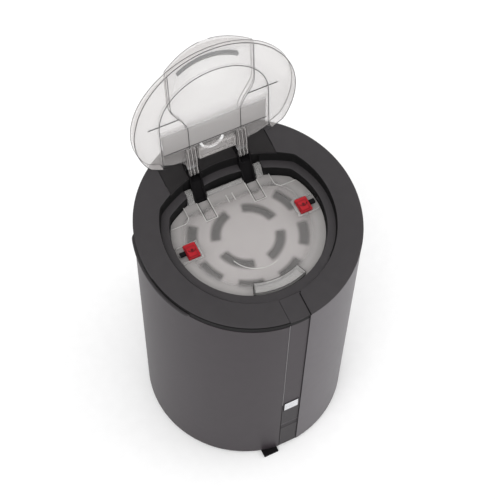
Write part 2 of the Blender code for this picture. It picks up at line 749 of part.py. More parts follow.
def port_profile(inner_end):
    """Radius against distance along the port, from the hose barb back to the inner end."""
    out = PORT_END
    return [
        (12.0, out),
        (13.5, out - 5),
        (12.0, out - 5.5),
        (13.5, out - 11),
        (12.0, out - 11.5),
        (15.5, VALVE_Y + 9),
        (15.5, VALVE_Y - 8),
        (18.5, VALVE_Y - 9),
        (18.5, VALVE_Y - 13),
        (12.0, VALVE_Y - 14),
        (12.0, inner_end),
        (9.0, inner_end),
        (9.0, out),
    ]


def make_ports():
    outlet = turned("outlet_port", port_profile(46.0), "black_plastic", 20, (PORT_X, 0, PORT_Z), True)
    inlet = turned("inlet_port", port_profile(76.0), "black_plastic", 20, (-PORT_X, 0, PORT_Z), True)
    elbow = rod("inlet_elbow", 13.0, (-PORT_X, 64, PORT_Z - 13), (-PORT_X, 64, 99.7), steps=20)
    unite(inlet, elbow)
    subtract(
        inlet,
        rod("inlet_riser", 9.5, (-PORT_X, 64, PORT_Z - 9), (-PORT_X, 64, 110), steps=20),
        rod("inlet_cross", 9.0, (-PORT_X, 64, PORT_Z), (-PORT_X, 90, PORT_Z), steps=20),
    )
    for side, port, word in ((-1, inlet, "inlet"), (1, outlet, "outlet")):
        x = side * PORT_X
        base = PORT_Z + 15.5 + GAP
        pivot = (x, VALVE_Y, base)
        lever = rod(f"{word}_lever", 7.5, (x, VALVE_Y, base), (x, VALVE_Y, base + 6), "red_plastic", 16, pivot)
        blade = box(f"{word}_blade", (x - 3, VALVE_Y, base + 1.5), (x + 3, VALVE_Y + 26, base + 5.5), None, pivot)
        unite(lever, blade)
    turned(
        "power_gland",
        [(5.5, 166), (7.5, 156), (10, 155.5), (10, 149.8), (5.5, 149.4), (5.5, 140), (3.6, 140), (3.6, 166)],
        "rubber",
        24,
        (0, 0, 32),
        True,
    )


def make_base():
    pan = prism("base_pan", circle(SHELL_OUT - SHELL_WALL - GAP), FOOT_H, FOOT_H + 18, "black_plastic")
    subtract(pan, prism("pan_hollow", circle(SHELL_OUT - SHELL_WALL - 4), FOOT_H + 3, FOOT_H + 30))
    subtract(pan, box("spine_relief_front", (-20, -160, 0), (20, -144.6, 60)))
    subtract(pan, box("spine_relief_rear", (-20, 144.6, 0), (20, 160, 60)))
    spots = [(FOOT_CIRCLE * math.cos(a), FOOT_CIRCLE * math.sin(a)) for a in map(math.radians, (45, 135, 225, 315))]
    foot_top = FOOT_H - GAP
    profile = [(11, foot_top), (12, 0), (0, 0), (0, foot_top)]
    for number, (x, y) in enumerate([*spots, (0.0, 0.0)]):
        turned(f"foot_{number + 1}", profile, "rubber", 16, (x, y, 0))
    box("base_tab", (-41, -155.5, 0.6), (-18, -128, FOOT_H - GAP), "black_plastic")


groove = make_spines()
make_drum()
make_ring(groove)
make_hinge()
make_lid()
make_cover()
make_latches()
make_tank()
make_media()
make_pump()
make_ports()
make_base()
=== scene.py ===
"""Looks of the canister filter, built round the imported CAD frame. Shape helpers take millimetres."""

import math

import bmesh
import bpy
from mathutils import Matrix, Vector


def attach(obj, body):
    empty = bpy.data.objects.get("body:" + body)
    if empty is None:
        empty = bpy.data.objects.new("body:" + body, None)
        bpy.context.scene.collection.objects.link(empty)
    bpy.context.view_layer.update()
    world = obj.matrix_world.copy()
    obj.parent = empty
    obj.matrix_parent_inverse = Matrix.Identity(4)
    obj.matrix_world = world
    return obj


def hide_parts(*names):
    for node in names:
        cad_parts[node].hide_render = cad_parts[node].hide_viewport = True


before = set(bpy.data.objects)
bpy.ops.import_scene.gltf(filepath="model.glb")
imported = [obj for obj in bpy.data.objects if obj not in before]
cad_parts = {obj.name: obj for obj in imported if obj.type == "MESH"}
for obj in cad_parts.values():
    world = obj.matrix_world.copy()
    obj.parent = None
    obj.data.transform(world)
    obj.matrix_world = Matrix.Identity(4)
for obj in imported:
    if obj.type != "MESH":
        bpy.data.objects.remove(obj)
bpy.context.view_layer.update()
MM = 0.001
# Clearance between neighbouring pieces, in millimetres
GAP = 0.3
# Faces that meet at more than this many degrees keep a sharp edge
SHARP_ABOVE = 35.0
SCENE = bpy.context.scene

# Sizes shared with the CAD, in millimetres
SHELL_IN, SHELL_OUT, SHELL_LOW = 146.7, 149.7, 5.0
SPINE_HALF, REAR_HALF = 14.0, 10.0
RING_LOW = 404.8
PANEL_HALF = 77.0
TOP_MID, TOP_SLOPE = 436.0, 0.115
LEDGE_MID, LEDGE_SLOPE = 424.5, 0.03
SEAT_R, SEAT_BACK_R, SEAT_BACK_Y = 115.0, 170.0, -78.0
OPENING_INSET = 12.0
COVER_INSET = 13.2
COVER_LOW, COVER_TOP = 407.1, 411.0
HINGE_Y, HINGE_Z = 98.0, 449.2
LID_OPEN = 101.1
LID_INSET, LID_PLATE, LID_REAR_Y = 2.5, 2.5, 85.0
SKIRT_DEPTH = 9.0
RIB_R, RIB_WALL, RIB_REAR_Y = 77.0, 2.0, 71.0
SLOT_IN, SLOT_OUT = 27.0, 45.0
KNUCKLE_R = 11.0
PORT_X, PORT_Z = 30.0, 62.0
LATCH_IN, LATCH_OUT, LATCH_FRONT, LATCH_BACK = 73.0, 90.0, -10.0, 12.0
LATCH_HIGH = COVER_TOP + 7.5

# Where the camera stands in metres, how it is turned, and its lens and sensor in millimetres
CAMERA_SPOT = Vector((-0.423204, -0.804158, 1.942971))
CAMERA_RIGHT = Vector((0.89767, -0.440265, 0.016092))
CAMERA_DOWN = Vector((-0.374915, -0.782559, -0.497084))
CAMERA_AHEAD = Vector((0.231499, 0.4402, -0.867584))
CAMERA_LENS, CAMERA_SENSOR = 97.727, 36.0

# The lid is built closed and turned open
HINGE = Vector((0.0, HINGE_Y, HINGE_Z))
OPENING = Matrix.Rotation(-math.radians(LID_OPEN), 4, "X")
SWING = Matrix.Translation(HINGE) @ OPENING @ Matrix.Translation(-HINGE)


# ---------------------------------------------------------------- heights and outlines


def top(x, y):
    """Height of the inclined ring top."""
    return TOP_MID + TOP_SLOPE * y


def under_top(depth):
    return lambda x, y: top(x, y) - depth


def ledge(x, y):
    """Height of the step inside the ring, under the closed lid's skirt."""
    return LEDGE_MID + LEDGE_SLOPE * y


def level(height):
    return height if callable(height) else lambda x, y: height


def seat_radius(angle, inset):
    """The seat is a circle whose back is cut off by a larger circle."""
    across, along = math.cos(angle), math.sin(angle)
    back_r = SEAT_BACK_R - inset
    back = SEAT_BACK_Y * along + math.sqrt(back_r**2 - (SEAT_BACK_Y * across) ** 2)
    return min(SEAT_R - inset, back)


def seat_outline(inset):
    angles = [2 * math.pi * i / 144 for i in range(144)]
    return [(seat_radius(a, inset) * math.cos(a), seat_radius(a, inset) * math.sin(a)) for a in angles]


def arc(radius, start, end, steps, x=0.0, y=0.0):
    angles = [math.radians(start + (end - start) * i / steps) for i in range(steps + 1)]
    return [(x + radius * math.cos(a), y + radius * math.sin(a)) for a in angles]


def sector(inner, outer, start, end, steps):
    """A curved bar between two radii and two angles."""
    return arc(outer, start, end, steps) + arc(inner, end, start, steps)


def lid_plane(y):
    """Height of the closed lid's underside."""
    return HINGE_Z + TOP_SLOPE * (y - HINGE_Y)


def above_lid(height):
    return lambda x, y: lid_plane(y) + height


def lid_outline(inset):
    return [(x, min(y, LID_REAR_Y - inset)) for x, y in seat_outline(LID_INSET + inset)]


def smooth(t):
    t = min(1.0, max(0.0, t))
    return t * t * (3 - 2 * t)


def band_half_width(y):
    """Half the width of the lid's raised band: wide at the front, narrow towards the hinge."""
    return 38.0 + 21.0 * smooth((20.0 - y) / 52.0)


def band_height(depth):
    """The band has low walls along its sides and a vault between them, which is highest at the front rim."""

    def height(x, y):
        wall = 1.0 + 5.0 * smooth((y + 110.0) / 35.0)
        vault = 1.0 + 13.0 * smooth((40.0 - y) / 150.0)
        across = max(0.0, 1.0 - (x / band_half_width(y)) ** 2)
        return lid_plane(y) + LID_PLATE - depth + wall + vault * across

    return height


def band_stations(inset, rear_y):
    """(half width, y) of the band from the hinge side to the front rim."""
    side_count, front_count = 30, 16
    rim = SEAT_R - LID_INSET - inset
    corner = math.degrees(math.acos((band_half_width(-90) - inset) / rim))
    side_end = -rim * math.sin(math.radians(corner)) + 2
    stations = []
    for i in range(side_count + 1):
        y = rear_y + (side_end - rear_y) * i / side_count
        stations.append((band_half_width(y) - inset, y))
    for i in range(front_count + 1):
        angle = math.radians(corner + (87 - corner) * i / front_count)
        stations.append((rim * math.cos(angle), -rim * math.sin(angle)))
    return stations


def band_solid(name, inset, rear_y, low, depth):
    """The band's space, as cross-sections with a vaulted top and a flat bottom."""
    high = band_height(depth)
    sections = []
    for half, y in band_stations(inset, rear_y):
        across = [half * k / 12 for k in range(-12, 13)]
        section = [(x, y, high(x, y)) for x in across]
        section += [(half, y, lid_plane(y) + low), (-half, y, lid_plane(y) + low)]
        sections.append(section)
    return loops_mesh(name, sections, None)


# ---------------------------------------------------------------- materials


def node(tree, kind, **values):
    made = tree.nodes.new(kind)
    for key, value in values.items():
        setattr(made, key, value)
    return made


def plastic(
    name,
    colour,
    rough,
    vary=0.08,
    scale=60.0,
    bump=0.04,
    bump_scale=900.0,
    alpha=1.0,
    specular=0.5,
    metal=0.0,
):
    """A moulded surface: its colour drifts a little, and a fine grain breaks up its gloss."""
    made = bpy.data.materials.new(name)
    made.use_nodes = True
    tree = made.node_tree
    shader = tree.nodes["Principled BSDF"]
    coordinates = node(tree, "ShaderNodeTexCoord")
    drift = node(tree, "ShaderNodeTexNoise")
    drift.inputs["Scale"].default_value = scale
    drift.inputs["Detail"].default_value = 3.0
    tree.links.new(coordinates.outputs["Object"], drift.inputs["Vector"])
    ramp = node(tree, "ShaderNodeValToRGB")
    ramp.color_ramp.elements[0].position = 0.3
    ramp.color_ramp.elements[1].position = 0.7
    ramp.color_ramp.elements[0].color = (*[c * (1 - vary) for c in colour], 1)
    ramp.color_ramp.elements[1].color = (*[min(1.0, c * (1 + vary)) for c in colour], 1)
    tree.links.new(drift.outputs["Fac"], ramp.inputs["Fac"])
    tree.links.new(ramp.outputs["Color"], shader.inputs["Base Color"])
    if bump:
        grain = node(tree, "ShaderNodeTexNoise")
        grain.inputs["Scale"].default_value = bump_scale
        tree.links.new(coordinates.outputs["Object"], grain.inputs["Vector"])
        raised = node(tree, "ShaderNodeBump")
        raised.inputs["Strength"].default_value = bump
        raised.inputs["Distance"].default_value = 0.0005
        tree.links.new(grain.outputs["Fac"], raised.inputs["Height"])
        tree.links.new(raised.outputs["Normal"], shader.inputs["Normal"])
    shader.inputs["Roughness"].default_value = rough
    shader.inputs["Alpha"].default_value = alpha
    shader.inputs["Specular IOR Level"].default_value = specular
    shader.inputs["Metallic"].default_value = metal
    return made


def clear(name, colour, face_alpha, edge_alpha):
    """Clear moulded plastic: faint face on, denser where it is seen at a slant."""
    made = plastic(name, colour, 0.08, vary=0.03, scale=25.0, bump=0.0)
    tree = made.node_tree
    slant = node(tree, "ShaderNodeLayerWeight")
    slant.inputs["Blend"].default_value = 0.35
    spread = node(tree, "ShaderNodeMapRange")
    spread.inputs["To Min"].default_value = face_alpha
    spread.inputs["To Max"].default_value = edge_alpha
    tree.links.new(slant.outputs["Facing"], spread.inputs["Value"])
    tree.links.new(spread.outputs["Result"], tree.nodes["Principled BSDF"].inputs["Alpha"])
    return made


def math_node(tree, operation, first, second=None, third=None):
    made = node(tree, "ShaderNodeMath", operation=operation)
    for socket, value in zip(made.inputs, (first, second, third)):
        if value is None:
            continue
        if isinstance(value, (int, float)):
            socket.default_value = value
        else:
            tree.links.new(value, socket)
    return made.outputs[0]


def soft_step(tree, value, inside, outside):
    """One up to inside, fading to nothing at outside."""
    made = node(tree, "ShaderNodeMapRange", interpolation_type="SMOOTHSTEP")
    made.inputs["From Min"].default_value = inside
    made.inputs["From Max"].default_value = outside
    made.inputs["To Min"].default_value = 1.0
    made.inputs["To Max"].default_value = 0.0
    tree.links.new(value, made.inputs["Value"])
    return made.outputs["Result"]


def axes_of(tree):
    """The sockets X, Y and Z of the piece's own coordinates, in metres."""
    coordinates = node(tree, "ShaderNodeTexCoord")
    parts = node(tree, "ShaderNodeSeparateXYZ")
    tree.links.new(coordinates.outputs["Object"], parts.inputs[0])
    return parts.outputs["X"], parts.outputs["Y"], parts.outputs["Z"]


def distance_from_axis(tree, x, y):
    squares = math_node(tree, "ADD", math_node(tree, "MULTIPLY", x, x), math_node(tree, "MULTIPLY", y, y))
    return math_node(tree, "SQRT", squares)


def shader_and_ramp(made):
    """A plastic's shader, and the colour ramp that feeds it."""
    shader = made.node_tree.nodes["Principled BSDF"]
    return shader, shader.inputs["Base Color"].links[0].from_node


def slotted_plate():
    """The diffuser plate: pale, with painted shade that gathers round its two rings of curved slots."""
    made = plastic("plate_face", (0.60, 0.565, 0.56), 0.5, vary=0.03, specular=0.3)
    tree = made.node_tree
    shader, ramp = shader_and_ramp(made)
    x, y, _ = axes_of(tree)
    radius = distance_from_axis(tree, x, y)
    angle = math_node(tree, "ARCTAN2", y, x)
    # Middle radius and half width in metres, then first angle, pitch and half length in degrees
    inner_slots = (0.043, 0.0075, 45.0, 90.0, 30.0)
    outer_slots = (0.0745, 0.008, 22.5, 45.0, 13.5)
    slot_shades = []
    for middle_r, half_r, first, pitch, half_angle in (inner_slots, outer_slots):
        turned = math_node(tree, "SUBTRACT", angle, math.radians(first))
        half = math.radians(pitch / 2)
        wrapped = math_node(tree, "ABSOLUTE", math_node(tree, "WRAP", turned, half, -half))
        blur = 0.0035 / middle_r
        slot_end = math.radians(half_angle)
        along = soft_step(tree, wrapped, slot_end - blur, slot_end + blur * 1.3)
        off = math_node(tree, "ABSOLUTE", math_node(tree, "SUBTRACT", radius, middle_r))
        across = soft_step(tree, off, half_r - 0.004, half_r + 0.003)
        slot_shades.append(math_node(tree, "MULTIPLY", along, across))
    slot_shade = math_node(tree, "MAXIMUM", *slot_shades)
    # Painted shade: the plate turns nearly black round its slots
    mix = node(tree, "ShaderNodeMix", data_type="RGBA")
    tree.links.new(math_node(tree, "MULTIPLY", slot_shade, 0.97), mix.inputs["Factor"])
    tree.links.new(ramp.outputs["Color"], mix.inputs["A"])
    mix.inputs["B"].default_value = (0.012, 0.011, 0.011, 1)
    tree.links.new(mix.outputs["Result"], shader.inputs["Base Color"])
    return made


def right_wall_painted_light():
    """The right shell is painted light: paler beside the front strip, fading to the left shell's grey at the
    back.
    """
    made = plastic("drum_right_painted_light_face", (0.084, 0.075, 0.083), 0.42, vary=0.04, specular=0.26, bump=0.05)
    tree = made.node_tree
    shader, ramp = shader_and_ramp(made)
    _, y, _ = axes_of(tree)
    mix = node(tree, "ShaderNodeMix", data_type="RGBA")
    tree.links.new(soft_step(tree, y, -0.04, 0.12), mix.inputs["Factor"])
    mix.inputs["A"].default_value = (0.042, 0.035, 0.040, 1)
    tree.links.new(ramp.outputs["Color"], mix.inputs["B"])
    tree.links.new(mix.outputs["Result"], shader.inputs["Base Color"])
    return made


def painted_shade_sheet():
    """A sheet of painted shade under the lid's hinge side: its shade changes with the distance from the hinge
    and fades out.
    """
    made = plastic("lid_painted_shade_face", (0.4, 0.4, 0.4), 0.35, bump=0.0)
    tree = made.node_tree
    shader = tree.nodes["Principled BSDF"]
    coordinates = node(tree, "ShaderNodeTexCoord")
    wave = node(tree, "ShaderNodeTexNoise")
    wave.inputs["Scale"].default_value = 14.0
    tree.links.new(coordinates.outputs["Object"], wave.inputs["Vector"])
    shift = math_node(tree, "MULTIPLY_ADD", wave.outputs["Fac"], 0.006, -0.003)
    height = math_node(tree, "ADD", axes_of(tree)[2], shift)
    far = node(tree, "ShaderNodeMapRange")
    far.inputs["From Min"].default_value = HINGE_Z * MM
    far.inputs["From Max"].default_value = HINGE_Z * MM + 0.1
    tree.links.new(height, far.inputs["Value"])
    # Each row holds the distance from the hinge in tenths of a metre, the shade and the alpha
    shades = ((0.15, 0.40, 0.35), (0.30, 0.30, 0.32), (0.42, 0.24, 0.38), (0.46, 0.40, 0.84))
    shades += ((0.62, 0.42, 0.84), (0.79, 0.46, 0.78), (0.84, 0.55, 0.32), (0.95, 0.6, 0.0))
    shade = node(tree, "ShaderNodeValToRGB")
    dense = node(tree, "ShaderNodeValToRGB")
    for ramp, column in ((shade, 1), (dense, 2)):
        while len(ramp.color_ramp.elements) < len(shades):
            ramp.color_ramp.elements.new(0.5)
        for element, row in zip(ramp.color_ramp.elements, shades):
            element.position = row[0]
            element.color = (row[column], row[column] * 0.965, row[column] * 0.955, 1)
        tree.links.new(far.outputs["Result"], ramp.inputs["Fac"])
    tree.links.new(shade.outputs["Color"], shader.inputs["Base Color"])
    tree.links.new(dense.outputs["Color"], shader.inputs["Alpha"])
    return made


def frosted_cover():
    """The inner cover is faint over the diffuser plate and denser round it, over the tank's rim."""
    made = plastic("cover_face", (0.36, 0.345, 0.338), 0.38, vary=0.03, scale=14.0, bump=0.05)
    tree = made.node_tree
    shader = tree.nodes["Principled BSDF"]
    x, y, _ = axes_of(tree)
    radius = distance_from_axis(tree, x, y)
    inside = soft_step(tree, radius, 0.078, 0.092)
    front = soft_step(tree, y, 0.048, 0.062)
    faint = math_node(tree, "MULTIPLY", inside, front)
    tree.links.new(math_node(tree, "MULTIPLY_ADD", faint, -0.52, 0.72), shader.inputs["Alpha"])
    return made


def speckled():
    """The small silver window: fine pale flakes."""
    made = plastic("window_face", (0.7, 0.7, 0.72), 0.35, vary=0.1, bump=0.0)
    tree = made.node_tree
    shader = tree.nodes["Principled BSDF"]
    coordinates = node(tree, "ShaderNodeTexCoord")
    flakes = node(tree, "ShaderNodeTexVoronoi")
    flakes.inputs["Scale"].default_value = 420.0
    ramp = node(tree, "ShaderNodeValToRGB")
    ramp.color_ramp.elements[0].color = (0.72, 0.72, 0.74, 1)
    ramp.color_ramp.elements[1].color = (0.45, 0.45, 0.47, 1)
    tree.links.new(coordinates.outputs["Object"], flakes.inputs["Vector"])
    tree.links.new(flakes.outputs["Distance"], ramp.inputs["Fac"])
    tree.links.new(ramp.outputs["Color"], shader.inputs["Base Color"])
    return made


def foam(name, colour, vary):
    return plastic(name, colour, 0.95, vary=vary, scale=300.0, bump=0.6, bump_scale=500.0)


RING = plastic(
    "ring_face", (0.034, 0.031, 0.033), 0.55, vary=0.05, specular=0.22, bump=0.08, bump_scale=1400.0
)
# Painted shade: the ring's steep inner walls are coloured near black where they are shaded
RING_WALL_SHADE = plastic("ring_wall_shade_face", (0.007, 0.0068, 0.007), 0.6, vary=0.05, specular=0.1)
WALL = plastic("drum_face", (0.034, 0.0275, 0.032), 0.42, vary=0.04, specular=0.17, bump=0.05)
# Painted light: the right shell is paler beside the front strip
WALL_RIGHT_PAINTED_LIGHT = right_wall_painted_light()
STRIP = plastic("strip_face", (0.038, 0.031, 0.036), 0.45, vary=0.04, specular=0.16)
STRIP_DARK = plastic("strip_cover_face", (0.026, 0.022, 0.025), 0.45, vary=0.04, specular=0.15)
# Painted highlight: the pale line along the front strip's left crease
CREASE_HIGHLIGHT = plastic("crease_highlight_face", (0.22, 0.215, 0.22), 0.4, vary=0.05)
BLACK = plastic("black_face", (0.006, 0.0055, 0.006), 0.6, vary=0.1, specular=0.08)
BAND = plastic("band_face", (0.008, 0.0075, 0.008), 0.6, vary=0.1, specular=0.1)
# Painted shade: the hinge panel is coloured darker than the ring top, where it lies low and shaded under the
# lid
PANEL = plastic("panel_face", (0.016, 0.0145, 0.015), 0.42, vary=0.05, specular=0.16)
RED = plastic("red_face", (0.34, 0.008, 0.015), 0.35, vary=0.08, specular=0.22)
# Painted shade: the latch's dot, groove and rim are drawn dark red as shaded grooves
RED_GROOVE_SHADE = plastic("red_groove_shade_face", (0.08, 0.004, 0.006), 0.5, vary=0.08, specular=0.2)
STEEL = plastic("steel_face", (0.60, 0.60, 0.62), 0.25, vary=0.05, metal=1.0)
RUBBER = plastic("rubber_face", (0.018, 0.018, 0.018), 0.85, vary=0.15, bump=0.15)
TANK = plastic("tank_face", (0.30, 0.30, 0.31), 0.5)
# Painted shade: the fine foam under the diffuser plate is coloured dark so the plate's slots show shaded
FOAM_DARK = foam("foam_dark_face", (0.045, 0.045, 0.048), 0.4)
FOAM_BLUE = foam("foam_blue_face", (0.08, 0.20, 0.35), 0.3)
CERAMIC = plastic("ceramic_face", (0.65, 0.55, 0.45), 0.9, vary=0.25, scale=120.0, bump=0.5, bump_scale=200.0)
MAGNET = plastic("magnet_face", (0.10, 0.10, 0.11), 0.4, vary=0.1, metal=0.6)
LID_CLEAR = clear("lid_clear_face", (0.60, 0.575, 0.565), 0.25, 0.68)
LID_FAINT = clear("lid_rib_face", (0.55, 0.535, 0.53), 0.10, 0.30)
# Painted shade: dark beads along the clear lid's edges, lines and hinge leaves
LID_EDGE_SHADE = plastic("lid_edge_shade_face", (0.025, 0.025, 0.026), 0.4, bump=0.0, alpha=0.92, specular=0.15)
LID_SHEEN = plastic("lid_sheen_face", (0.95, 0.95, 0.95), 0.2, bump=0.0, alpha=0.9)
LID_FROST = plastic("lid_frost_face", (0.26, 0.26, 0.26), 0.4, vary=0.06, scale=30.0, alpha=0.6)
LID_PAINTED_SHADE = painted_shade_sheet()
COVER = frosted_cover()
# Painted highlight: pale beads along the cover's channel and pocket edges, ribs and emboss
COVER_HIGHLIGHT = plastic("cover_highlight_face", (0.66, 0.65, 0.63), 0.3, bump=0.0, alpha=0.7)
# Painted shade: dark beads beside the cover's channels and along the clear handle's ends and edges, with its
# shadow line
COVER_SHADE_LINE = plastic("cover_shade_line_face", (0.05, 0.048, 0.047), 0.4, bump=0.0, alpha=0.85, specular=0.2)
HANDLE_CLEAR = clear("handle_clear_face", (0.52, 0.51, 0.50), 0.22, 0.75)
PLATE = slotted_plate()
WINDOW = speckled()


# ---------------------------------------------------------------- meshes


def finish_mesh(name, bm, mat, sharp_above=SHARP_ABOVE, turn=None):
    bmesh.ops.recalc_face_normals(bm, faces=bm.faces)
    if turn is not None:
        bmesh.ops.transform(bm, matrix=turn, verts=bm.verts)
    bmesh.ops.scale(bm, verts=bm.verts, vec=(MM, MM, MM))
    mesh = bpy.data.meshes.new(name)
    bm.to_mesh(mesh)
    bm.free()
    made = bpy.data.objects.new(name, mesh)
    SCENE.collection.objects.link(made)
    if mat:
        mesh.materials.append(mat)
    mesh.shade_smooth()
    mesh.set_sharp_from_angle(angle=math.radians(sharp_above))
    return made


def prism(name, outline, low, high, mat=None, turn=None):
    """A plan outline raised from low to high, which are heights or functions of x and y."""
    low, high = level(low), level(high)
    bm = bmesh.new()
    face = bm.faces.new([bm.verts.new((x, y, low(x, y))) for x, y in outline])
    raised = bmesh.ops.extrude_face_region(bm, geom=[face])["geom"]
    for vert in (item for item in raised if isinstance(item, bmesh.types.BMVert)):
        vert.co.z = high(vert.co.x, vert.co.y)
    return finish_mesh(name, bm, mat, turn=turn)


def side_prism(name, outline, x_low, x_high, mat=None, turn=None):
    """An outline of (y, z) drawn out along X."""
    bm = bmesh.new()
    face = bm.faces.new([bm.verts.new((x_low, y, z)) for y, z in outline])
    moved = bmesh.ops.extrude_face_region(bm, geom=[face])["geom"]
    for vert in (item for item in moved if isinstance(item, bmesh.types.BMVert)):
        vert.co.x = x_high
    return finish_mesh(name, bm, mat, turn=turn)


def box(name, low, high, mat=None):
    bm = bmesh.new()
    bmesh.ops.create_cube(bm, size=1.0)
    bmesh.ops.scale(bm, verts=bm.verts, vec=[b - a for a, b in zip(low, high)])
    bmesh.ops.translate(bm, verts=bm.verts, vec=[(a + b) / 2 for a, b in zip(low, high)])
    return finish_mesh(name, bm, mat)


def rod(name, radius, start, end, mat=None):
    start, end = Vector(start), Vector(end)
    along = end - start
    pose = Matrix.Translation((start + end) / 2) @ along.to_track_quat("Z", "Y").to_matrix().to_4x4()
    bm = bmesh.new()
    bmesh.ops.create_cone(
        bm, cap_ends=True, segments=48, radius1=radius, radius2=radius, depth=along.length, matrix=pose
    )
    return finish_mesh(name, bm, mat)


def loops_mesh(name, rings, mat, closed_path=False, sharp_above=SHARP_ABOVE, turn=None):
    """Skins a row of point loops, such as the cross-sections along a path."""
    bm = bmesh.new()
    rows = [[bm.verts.new(p) for p in ring] for ring in rings]
    pairs = list(zip(rows, rows[1:])) + ([(rows[-1], rows[0])] if closed_path else [])
    count = len(rows[0])
    for first, second in pairs:
        for i in range(count):
            j = (i + 1) % count
            bm.faces.new((first[i], first[j], second[j], second[i]))
    if not closed_path:
        bm.faces.new(rows[0][::-1])
        bm.faces.new(rows[-1])
    return finish_mesh(name, bm, mat, sharp_above, turn)


def tube(name, points, radius, mat, closed=False, turn=None):
    """A thin round bead along a path."""
    turns = [math.radians(45 * k) for k in range(8)]
    points = [Vector(p) for p in points]
    rings = []
    count = len(points)
    for i, point in enumerate(points):
        if closed:
            along = points[(i + 1) % count] - points[i - 1]
        else:
            along = points[min(i + 1, count - 1)] - points[max(i - 1, 0)]
        along.normalize()
        side = along.cross(Vector((0, 0, 1)))
        if side.length < 0.1:
            side = along.cross(Vector((1, 0, 0)))
        side.normalize()
        up = side.cross(along)
        rings.append([point + side * (radius * math.cos(t)) + up * (radius * math.sin(t)) for t in turns])
    return loops_mesh(name, rings, mat, closed_path=closed, sharp_above=80.0, turn=turn)


def lathe(name, profile, mat, centre, lay_back=False):
    """A closed profile of (radius, height) turned about Z, or about Y when laid back."""
    steps = 64
    rings = []
    for i in range(steps):
        a = 2 * math.pi * i / steps
        across, along = math.cos(a), math.sin(a)
        ring = []
        for r, h in profile:
            r = max(r, 0.02)
            local = (r * across, h, -r * along) if lay_back else (r * across, r * along, h)
            ring.append(Vector(local) + Vector(centre))
        rings.append(ring)
    return loops_mesh(name, rings, mat, closed_path=True)


def bake(obj):
    """Turns an object's modifiers into its mesh."""
    graph = bpy.context.evaluated_depsgraph_get()
    mesh = bpy.data.meshes.new_from_object(obj.evaluated_get(graph))
    obj.modifiers.clear()
    obj.data = mesh


def combine(target, others, operation):
    for other in others:
        step = target.modifiers.new(other.name, "BOOLEAN")
        step.operation = operation
        step.object = other
        step.solver = "EXACT"
    bake(target)
    for other in others:
        bpy.data.objects.remove(other, do_unlink=True)
    target.data.shade_smooth()
    target.data.set_sharp_from_angle(angle=math.radians(SHARP_ABOVE))
    return target


def subtract(target, *others):
    return combine(target, others, "DIFFERENCE")


def unite(target, *others):
    return combine(target, others, "UNION")


def soften(obj, width, segments=2):
    """Rounds the sharp edges."""
    step = obj.modifiers.new("round", "BEVEL")
    step.width = width * MM
    step.segments = segments
    step.limit_method = "ANGLE"
    step.angle_limit = math.radians(SHARP_ABOVE)
    step.harden_normals = True
    return obj


def place(obj, body, slot, *nodes):
    """Ties a piece to its body and hides the CAD nodes it stands in for; the slot is not used."""
    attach(obj, body)
    if nodes:
        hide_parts(*nodes)
    return obj


# ---------------------------------------------------------------- casing


def edge_angle(half_width, radius):
    """Degrees from a strip's middle to its edge, seen from the drum's axis."""
    return math.degrees(math.asin(half_width / radius))


